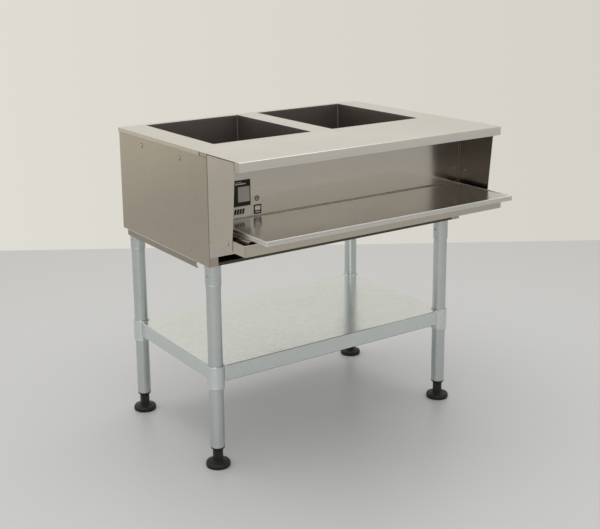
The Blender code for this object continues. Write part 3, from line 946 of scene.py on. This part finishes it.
def buildSetScrew(corner, axis):
    low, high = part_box(f"set_screw_{corner}")
    middle = (low + high) / 2
    outward = Vector((middle.x - axis.x, middle.y - axis.y, 0)).normalized()
    seat = Vector((axis.x, axis.y, middle.z))
    bm = bmesh.new()
    shape = setScrewShape
    addSocketScrew(bm, seat + outward * shape["seat"], outward, shape["radius"], shape["height"])
    finishPiece(f"set_screw_{corner}_screw", bm, "screwSteel", stands=[f"set_screw_{corner}"])


def sinkRing(bm, edges, depth):
    # a ring of edges drawn down and closed at its end
    drawn = bmesh.ops.extrude_edge_only(bm, edges=edges)["geom"]
    verts = [v for v in drawn if isinstance(v, bmesh.types.BMVert)]
    bmesh.ops.translate(bm, vec=(0, 0, -depth), verts=verts)
    own = [e for e in drawn if isinstance(e, bmesh.types.BMEdge)]
    bmesh.ops.contextual_create(bm, geom=edgesAmong(own, verts))
    return verts


def addSocketScrew(bm, seat, outward, radius, height):
    # a round screw with a hexagon socket sunk in its end
    socket = 0.55 * radius
    outer = bmesh.ops.create_circle(bm, cap_ends=False, segments=24, radius=radius)["verts"]
    rim = bmesh.ops.create_circle(bm, cap_ends=False, segments=6, radius=socket)["verts"]
    outerEdges = edgesAmong(bm.edges, outer)
    rimEdges = edgesAmong(bm.edges, rim)
    bmesh.ops.bridge_loops(bm, edges=outerEdges + rimEdges)
    made = outer + rim + sinkRing(bm, outerEdges, height) + sinkRing(bm, rimEdges, 0.5 * height)
    turn = Vector(outward).to_track_quat("Z", "Y").to_matrix().to_4x4()
    bmesh.ops.transform(bm, matrix=Matrix.Translation(seat + outward * height) @ turn, verts=made)
    faces = [f for f in bm.faces if f.verts[0] in made]
    bmesh.ops.recalc_face_normals(bm, faces=faces)


def buildCollar(corner):
    low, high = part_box(f"shelf_collar_{corner}")
    tubeLow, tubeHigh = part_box(f"leg_tube_{corner}")
    centre = (tubeLow + tubeHigh) / 2
    signX = 1 if centre.x > 0 else -1
    signY = 1 if corner.startswith("back") else -1
    radius = abs((high.x if signX > 0 else low.x) - centre.x)
    bore = (tubeHigh.x - tubeLow.x) / 2 + 0.0003
    r = collarShape["roll"]
    groove = collarShape["groove"]
    outline = [
        (bore, high.z),
        (radius - r, high.z),
        (radius, high.z - r),
        (radius, high.z - groove),
        (radius - 0.0005, high.z - groove - 0.0006),
        (radius - 0.0005, low.z + groove + 0.0006),
        (radius, low.z + groove),
        (radius, low.z + r),
        (radius - r, low.z),
        (bore, low.z),
        (bore, high.z),
    ]
    bm = bmesh.new()
    addTurned(bm, outline, (centre.x, centre.y, 0), steps=legShape["steps"])
    shelfLow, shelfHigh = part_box("undershelf")
    earLow = shelfLow.z + 0.003
    earHigh = shelfHigh.z - 0.0034
    thick = collarShape["earThickness"]
    length = collarShape["earLength"]
    start = radius - thick
    faceX = (shelfHigh.x if signX > 0 else shelfLow.x) - signX * 0.0015
    faceY = (shelfHigh.y if signY > 0 else shelfLow.y) - signY * 0.0015
    alongX = sorted((centre.x - signX * start, centre.x - signX * (start + length)))
    alongY = sorted((centre.y - signY * start, centre.y - signY * (start + length)))
    acrossX = sorted((faceX, faceX - signX * thick))
    acrossY = sorted((faceY, faceY - signY * thick))
    ears = bmesh.new()
    addBox(ears, (alongX[0], acrossY[0], earLow), (alongX[1], acrossY[1], earHigh))
    addBox(ears, (acrossX[0], alongY[0], earLow), (acrossX[1], alongY[1], earHigh))
    soften(ears, 0.0006)
    finishPiece(f"collar_ears_{corner}", ears, "hemZinc")
    finishPiece(f"shelf_collar_{corner}_ring", bm, "hemZinc", stands=[f"shelf_collar_{corner}"])


def buildFoot(corner):
    body = f"foot_{corner}"
    low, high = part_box(body)
    centre = (low + high) / 2
    radius = (high.x - low.x) / 2
    centre.z = 0
    pad = footShape["padHeight"]
    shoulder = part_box(f"foot_insert_{corner}")[0].z - 0.0003
    bm = bmesh.new()
    outline = [
        (0, pad + 0.0010),
        (0.0165, pad + 0.0010),
        (0.0185, pad - 0.0006),
        (radius - 0.0055, pad - 0.0022),
        (radius - 0.0020, pad - 0.0036),
        (radius - 0.0004, pad - 0.0060),
        (radius, pad - 0.0085),
        (radius, footShape["notchHeight"]),
        (radius - 0.0004, 0.0012),
        (radius - 0.0014, 0),
        (radius - 0.0080, 0),
        (radius - 0.0090, 0.0012),
        (0, 0.0012),
    ]
    addTurned(bm, outline, steps=64)
    cutNotches(bm, radius)
    bmesh.ops.translate(bm, vec=centre, verts=bm.verts)
    finishPiece(f"foot_pad_{corner}", bm, "footPlastic", body, [body])
    bm = bmesh.new()
    neck = footShape["neckRadius"] / math.cos(math.pi / footShape["neckSides"])
    top = centre + up * (shoulder - 0.006)
    addRod(bm, centre + up * pad * 0.9, top, neck, sides=footShape["neckSides"])
    soften(bm, 0.0008)
    stem = [
        (0, high.z),
        (0.0066, high.z),
        (0.0074, high.z - 0.0012),
        (0.0074, shoulder),
        (0.0150, shoulder),
        (0.0150, shoulder - 0.0035),
        (0.0132, shoulder - 0.0075),
        (0, shoulder - 0.0075),
    ]
    addTurned(bm, stem, centre, steps=48)
    addThread(bm, centre, high.z - 0.002, shoulder + 0.002)
    finishPiece(f"foot_neck_{corner}", bm, "footPlastic", body)


def cutNotches(bm, radius):
    # every few faces of the pad's lowest band are pushed in
    band = footShape["notchHeight"]
    share = math.tau / footShape["notches"]
    chosen = []
    for f in bm.faces:
        middle = f.calc_center_median()
        angle = math.atan2(middle.y, middle.x) % share
        onWall = middle.z < band and middle.xy.length > radius * 0.97 and abs(f.normal.z) < 0.6
        if onWall and angle < share * 0.26:
            chosen.append(f)
    bmesh.ops.inset_region(bm, faces=chosen, thickness=0.0002, depth=-footShape["notchDepth"])


def addThread(bm, centre, top, bottom):
    # ridges round the stem, one per turn of the thread
    pitch = 0.0025
    count = int((top - bottom) / pitch)
    for turn in range(count):
        height = bottom + turn * pitch
        ridge = [(0.0070, height), (0.0079, height + pitch * 0.4)]
        ridge += [(0.0079, height + pitch * 0.6), (0.0070, height + pitch)]
        addTurned(bm, ridge, centre, steps=32)


def buildInsert(corner):
    low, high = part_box(f"foot_insert_{corner}")
    centre = (low + high) / 2
    radius = (high.x - low.x) / 2
    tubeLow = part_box(f"leg_tube_{corner}")[0].z
    rim = tubeLow - 0.0003
    plug = radius - legShape["wall"] - 0.0003
    outline = [
        (0.0083, high.z),
        (plug - 0.0015, high.z),
        (plug, high.z - 0.003),
        (plug, rim),
        (radius - 0.0004, rim),
        (radius, rim - 0.0008),
        (radius, rim - 0.0020),
        (radius - 0.0012, rim - 0.0042),
        (radius - 0.0036, low.z),
        (0.0083, low.z),
        (0.0083, high.z),
    ]
    bm = bmesh.new()
    addTurned(bm, outline, (centre.x, centre.y, 0), steps=48)
    finishPiece(f"foot_insert_{corner}_bush", bm, "footPlastic", stands=[f"foot_insert_{corner}"])


for corner in corners:
    buildTube(corner)
    buildSocket(corner)
    buildCollar(corner)
    buildInsert(corner)
    buildFoot(corner)
print("legs and feet made")

# screws, rivets and the cable gland

screwShape = {"head": 0.62, "sides": 6}


def addHexScrew(bm, seat, outward, radius, height):
    # a hexagon head standing on its own washer
    seat = Vector(seat)
    outward = Vector(outward)
    washer = [
        (0, height * 0.34),
        (radius * 0.80, height * 0.34),
        (radius, height * 0.16),
        (radius, 0),
        (0, 0),
    ]
    addTurned(bm, washer, seat, outward, steps=24)
    across = radius * screwShape["head"]
    sides = screwShape["sides"]
    shoulder = seat + outward * height * 0.86
    addRod(bm, seat + outward * height * 0.2, shoulder, across, sides=sides)
    addRod(bm, shoulder, seat + outward * height, across * 0.98, across * 0.72, sides=sides)


panelScrews = {
    "radius": 0.0050,
    "shadow": 0.0068,
    "plateRadius": 0.0058,
    "plateShank": 0.009,
    "plateShankRadius": 0.0019,
    "panShankRadius": 0.0024,
    "height": 0.0019,
    "sidePlaces": [(0.232, 0.881), (0.002, 0.8785)],
    "backAcross": [-0.40, -0.20, 0.0, 0.20, 0.40],
    "backHeights": [0.630, 0.880],
}


def buildPanelScrews(values):
    radius = values["radius"]
    height = values["height"]
    for side, sign in sides.items():
        low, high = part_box(f"side_panel_{side}")
        wall = high.x if sign > 0 else low.x
        bm = bmesh.new()
        for y, z in values["sidePlaces"]:
            addHexScrew(bm, (wall, y, z), (sign, 0, 0), radius, height)
        finishPiece(f"side_screws_{side}", bm, "screwSteel")
        node = f"plate_screw_{side}"
        seat = middleOf(node)
        seat.x = wall
        # painted shadow: a thin dark disc under each screw head
        shadow = bmesh.new()
        ring = [(0, 0.0002), (values["shadow"], 0.0002), (values["shadow"], 0), (0, 0)]
        for y, z in [*values["sidePlaces"], (seat.y, seat.z)]:
            addTurned(shadow, ring, (wall, y, z), (sign, 0, 0), steps=24)
        finishPiece(f"painted_screw_shadow_{side}", shadow, "paintedJointShadow")
        bm = bmesh.new()
        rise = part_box(node)[1].x - wall if sign > 0 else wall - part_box(node)[0].x
        addHexScrew(bm, seat, (sign, 0, 0), values["plateRadius"], rise)
        shankStart = seat - Vector((sign * 0.0001, 0, 0))
        shankEnd = seat - Vector((sign * values["plateShank"], 0, 0))
        addRod(bm, shankStart, shankEnd, values["plateShankRadius"])
        finishPiece(f"plate_screw_{side}_screw", bm, "screwSteel", stands=[node])
    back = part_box("back_panel")[1].y
    bm = bmesh.new()
    for x in values["backAcross"]:
        for z in values["backHeights"]:
            addHexScrew(bm, (x, back, z), (0, 1, 0), radius, height)
    finishPiece("back_screws", bm, "screwSteel")
    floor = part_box("bottom_pan")[0].z
    for side in sides:
        node = f"pan_screw_{side}"
        low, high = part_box(node)
        seat = (low + high) / 2
        bm = bmesh.new()
        addHexScrew(bm, (seat.x, seat.y, floor), (0, 0, -1), (high.x - low.x) / 2, floor - low.z)
        addRod(bm, (seat.x, seat.y, floor), (seat.x, seat.y, high.z), values["panShankRadius"])
        finishPiece(f"pan_screw_{side}_screw", bm, "screwSteel", stands=[node])


rivets = {
    "radius": 0.0030,
    "height": 0.0009,
    "panelPlace": (0.413, 0.766),
    "platePlace": (-0.174, 0.761),
}


def buildRivets(values):
    radius = values["radius"]
    height = values["height"]
    outline = [(0, height), (radius * 0.5, height * 0.88), (radius * 0.85, height * 0.5)]
    outline += [(radius, 0), (0, 0)]
    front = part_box("front_panel")[0].y
    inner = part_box("end_plate_right")[1].x - 0.0015
    bm = bmesh.new()
    x, z = values["panelPlace"]
    addTurned(bm, outline, (x, front, z), (0, -1, 0), steps=24)
    y, z = values["platePlace"]
    addTurned(bm, outline, (inner, y, z), (-1, 0, 0), steps=24)
    finishPiece("shelf_rivets", bm, "railSteel")


def buildGland():
    low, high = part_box("cable_gland")
    centre = (low + high) / 2
    radius = (high.x - low.x) / 2
    centre.z = 0
    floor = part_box("bottom_pan")[0].z
    bore = 0.006
    bm = bmesh.new()
    barrel = [(bore, high.z), (0.0098, high.z), (0.0102, high.z - 0.0005), (0.0102, floor - 0.0004)]
    barrel += [(radius * 0.98, floor - 0.0004), (radius * 0.98, floor - 0.0016), (0.0122, floor - 0.0017)]
    barrel += [(0.0122, low.z + 0.004), (0.0108, low.z + 0.0008), (0.0098, low.z)]
    barrel += [(bore, low.z), (bore, high.z)]
    addTurned(bm, barrel, centre, steps=40)
    finishPiece("cable_gland_barrel", bm, "footPlastic", stands=["cable_gland"])
    bm = bmesh.new()
    nutTop = centre + up * (floor - 0.0018)
    addRod(bm, nutTop, centre + up * (low.z + 0.0045), radius * 0.985, sides=6)
    hole = [f for f in bm.faces if abs(f.normal.z) > 0.9]
    bmesh.ops.delete(bm, geom=hole, context="FACES_ONLY")
    wall = [e for e in bm.edges if e.is_boundary]
    inner = bmesh.ops.extrude_edge_only(bm, edges=wall)["geom"]
    innerVerts = [v for v in inner if isinstance(v, bmesh.types.BMVert)]
    bmesh.ops.translate(bm, vec=-centre, verts=bm.verts)
    bmesh.ops.scale(bm, vec=(0.80, 0.80, 1), verts=innerVerts)
    bmesh.ops.translate(bm, vec=centre, verts=bm.verts)
    bmesh.ops.recalc_face_normals(bm, faces=bm.faces)
    finishPiece("cable_gland_nut", bm, "footPlastic", weighted=False)
    bm = bmesh.new()
    lip = bore - 0.0014
    seal = [(bore, low.z + 0.010), (bore, low.z + 0.0005), (lip, low.z + 0.0012), (lip, low.z + 0.010)]
    addTurned(bm, seal + seal[:1], centre, steps=32)
    finishPiece("cable_gland_seal", bm, "sealRubber")


jointLines = {
    "thick": 0.00015,
    "plateTop": 0.0022,
    "seam": 0.0026,
    "hem": 0.0011,
    "foldLine": 0.0012,
    "brightEdge": 0.0013,
    "plateFold": 0.0015,
    "cornerLine": 0.0016,
}


def buildJoints(values):
    # painted shade: dark strips laid along the joints and corners between the sheets where shadow falls in
    # the gaps, and pale strips along some edges as painted highlights
    thick = values["thick"]
    for side, sign in sides.items():
        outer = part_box(f"side_panel_{side}")[1 if sign > 0 else 0].x
        faces = facesOf(outer, thick)
        plateLow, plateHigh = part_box(f"end_plate_{side}")
        panelLow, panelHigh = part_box(f"side_panel_{side}")
        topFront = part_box("top_sheet")[0].y
        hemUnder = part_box("top_sheet")[0].z
        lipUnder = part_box("work_ledge")[0].z
        top = panelHigh.z
        # painted shadow along the top and front of the end plate and under the top's front edge
        dark = bmesh.new()
        underTop = top - values["plateTop"]
        addBox(dark, (faces[0], plateLow.y + 0.0005, underTop), (faces[1], plateHigh.y, top))
        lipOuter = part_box("work_ledge")[1 if sign > 0 else 0].x
        lipFaces = facesOf(lipOuter, thick)
        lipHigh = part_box("work_ledge")[1].z - 0.002
        lipLow = (lipFaces[0], plateLow.y - 0.0018, lipUnder + 0.001)
        addBox(dark, lipLow, (lipFaces[1], plateLow.y, lipHigh))
        addBox(dark, (faces[0], topFront - 0.0012, hemUnder), (faces[1], topFront + 0.0002, top))
        finishPiece(f"joint_lines_{side}", dark, "paintedJointShadow")
        soft = bmesh.new()
        seam = values["seam"]
        seamLow = (faces[0], plateHigh.y - seam * 0.4, panelLow.z)
        addBox(soft, seamLow, (faces[1], plateHigh.y + seam * 0.6, top))
        hemLow = (faces[0], plateHigh.y, hemUnder - values["hem"])
        addBox(soft, hemLow, (faces[1], panelHigh.y - 0.001, hemUnder))
        finishPiece(f"joint_shade_{side}", soft, "jointShade")
    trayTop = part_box("tray")[1].z
    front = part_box("front_panel")[0].y
    panLow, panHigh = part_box("support_pan")
    shelfLow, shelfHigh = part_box("undershelf")
    fold = values["foldLine"]
    soft = bmesh.new()
    addBox(soft, (-0.445, front - thick, trayTop), (0.445, front + thick, trayTop + 0.0010))
    for sign in sides.values():
        corner = panLow.x if sign < 0 else panHigh.x
        across = sorted((corner, corner - sign * fold))
        foldLow = (across[0], panLow.y - thick, panLow.z + 0.001)
        addBox(soft, foldLow, (across[1], panLow.y + thick, panHigh.z - 0.001))
    for height in (shelfLow.z + 0.0002, shelfHigh.z - 0.0016):
        low = (-0.385, shelfLow.y - thick, height)
        addBox(soft, low, (0.385, shelfLow.y + thick, height + 0.0009))
    finishPiece("joint_shade_front", soft, "jointShade")
    # painted shade in the corner between the front panel and the right end plate
    corner = bmesh.new()
    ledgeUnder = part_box("work_ledge")[0].z
    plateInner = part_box("end_plate_right")[1].x - values["plateFold"]
    low = (plateInner - values["cornerLine"], front - thick, trayTop + 0.0010)
    addBox(corner, low, (plateInner, front + thick, ledgeUnder))
    finishPiece("joint_line_shelf", corner, "paintedJointShadow")
    # painted highlights: pale strips along the support pan's top front edge and the rails' top edges
    bright = bmesh.new()
    edgeHigh = values["brightEdge"]
    edgeLow = (panLow.x, panLow.y - thick, panHigh.z - edgeHigh)
    addBox(bright, edgeLow, (panHigh.x, panLow.y + thick, panHigh.z))
    for side, sign in sides.items():
        railLow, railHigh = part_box(f"side_rail_{side}")
        panelLow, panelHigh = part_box(f"side_panel_{side}")
        outer = panelHigh.x if sign > 0 else panelLow.x
        faces = facesOf(outer, thick)
        addBox(bright, (faces[0], railLow.y, panelLow.z), (faces[1], railHigh.y, panelLow.z + edgeHigh))
    finishPiece("painted_edge_highlights", bright, "highlightSteel")


buildJoints(jointLines)
buildPanelScrews(panelScrews)
buildRivets(rivets)
buildGland()
print("fixings made")

# plates and labels on the front panel

plateShape = {"corner": 0.0012, "raise": 0.00012}


def plaque(bm, low, high, front, thickness, corner):
    # a thin plate in the XZ plane with rounded corners; its face looks towards -Y
    made = addBox(bm, (low[0], front, low[1]), (high[0], front + thickness, high[1]))
    own = set(made)
    ends = [(e, e.verts[0], e.verts[1]) for e in bm.edges if e.verts[0] in own]
    upright = [e for e, first, second in ends if abs(first.co.y - second.co.y) > thickness * 0.5]
    roundEdges(bm, upright, corner, 4)


def buildDataPlate():
    low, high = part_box("data_plate")
    thick = high.y - low.y
    wide = high.x - low.x
    tall = high.z - low.z
    lift = plateShape["raise"]
    bm = bmesh.new()
    plaque(bm, (low.x, low.z), (high.x, high.z), low.y + lift, thick - lift, 0.0015)
    finishPiece("data_plate_base", bm, "labelBlack", stands=["data_plate"])
    bm = bmesh.new()
    windowLow = (low.x + wide * 0.27, low.z + tall * 0.16)
    windowHigh = (high.x - wide * 0.055, low.z + tall * 0.74)
    plaque(bm, windowLow, windowHigh, low.y + lift * 0.4, lift * 0.6, 0.0006)
    finishPiece("data_plate_window", bm, "labelGrey")
    bm = bmesh.new()
    for end, under, over, corner in ((0.72, 0.83, 0.87, 0.0004), (0.50, 0.91, 0.925, 0.0002)):
        lineLow = (low.x + wide * 0.10, low.z + tall * under)
        lineHigh = (low.x + wide * end, low.z + tall * over)
        plaque(bm, lineLow, lineHigh, low.y + lift * 0.4, lift * 0.6, corner)
    finishPiece("data_plate_lines", bm, "labelPale")
    bm = bmesh.new()
    spot = Vector((windowHigh[0] - wide * 0.15, low.y, windowLow[1] + tall * 0.13))
    addRod(bm, spot + Vector((0, lift * 0.4, 0)), spot, 0.0011)
    finishPiece("data_plate_lamp", bm, "labelBlack")


def buildLowerPlate():
    low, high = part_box("lower_plate")
    thick = high.y - low.y
    lift = plateShape["raise"]
    wide = high.x - low.x
    tall = high.z - low.z
    bm = bmesh.new()
    plaque(bm, (low.x, low.z), (high.x, high.z), low.y + lift, thick - lift, 0.0015)
    finishPiece("lower_plate_base", bm, "labelPale", stands=["lower_plate"])
    # four plain slanted bars
    bm = bmesh.new()
    for step in range(4):
        start = low.x + wide * (0.01 + 0.155 * step)
        made = addBox(
            bm,
            (start, low.y, low.z + tall * 0.26),
            (start + wide * 0.125, low.y + lift, low.z + tall * 0.80),
        )
        for v in made:
            v.co.x += (v.co.z - low.z) * 0.22
    finishPiece("lower_plate_bars", bm, "labelBlack")


def buildSmallLabels():
    lift = plateShape["raise"]
    low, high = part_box("square_label")
    wide = high.x - low.x
    tall = high.z - low.z
    bm = bmesh.new()
    plaque(bm, (low.x, low.z), (high.x, high.z), low.y + lift, high.y - low.y - lift, 0.0018)
    finishPiece("square_label_base", bm, "labelBlack", stands=["square_label"])
    bm = bmesh.new()
    for inset, under, over, corner in ((0.14, 0.40, 0.86, 0.0020), (0.18, 0.16, 0.26, 0.0005)):
        shapeLow = (low.x + wide * inset, low.z + tall * under)
        plaque(bm, shapeLow, (high.x - wide * inset, low.z + tall * over), low.y, lift, corner)
    finishPiece("square_label_shapes", bm, "labelPale")
    low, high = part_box("round_label")
    middle = (low + high) / 2
    radius = (high.x - low.x) / 2
    thick = high.y - low.y
    bm = bmesh.new()
    disc = [(0, thick - lift), (radius - 0.0003, thick - lift), (radius, thick - 0.0004)]
    disc += [(radius, 0), (0, 0)]
    addTurned(bm, disc, (middle.x, high.y, middle.z), (0, -1, 0), steps=40)
    finishPiece("round_label_disc", bm, "labelGrey", stands=["round_label"])
    bm = bmesh.new()
    deep = thick - lift * 0.9
    inner = radius * 0.62
    outer = radius * 0.90
    ring = [(inner, deep), (inner, thick), (outer, thick), (outer, deep)]
    addTurned(bm, ring + ring[:1], (middle.x, high.y, middle.z), (0, -1, 0), steps=40)
    dot = [(0, thick), (radius * 0.28, thick), (radius * 0.28, deep), (0, deep)]
    addTurned(bm, dot, (middle.x, high.y, middle.z + radius * 0.12), (0, -1, 0), steps=24)
    finishPiece("round_label_marks", bm, "labelBlack")


buildDataPlate()
buildLowerPlate()
buildSmallLabels()
print("plates made")
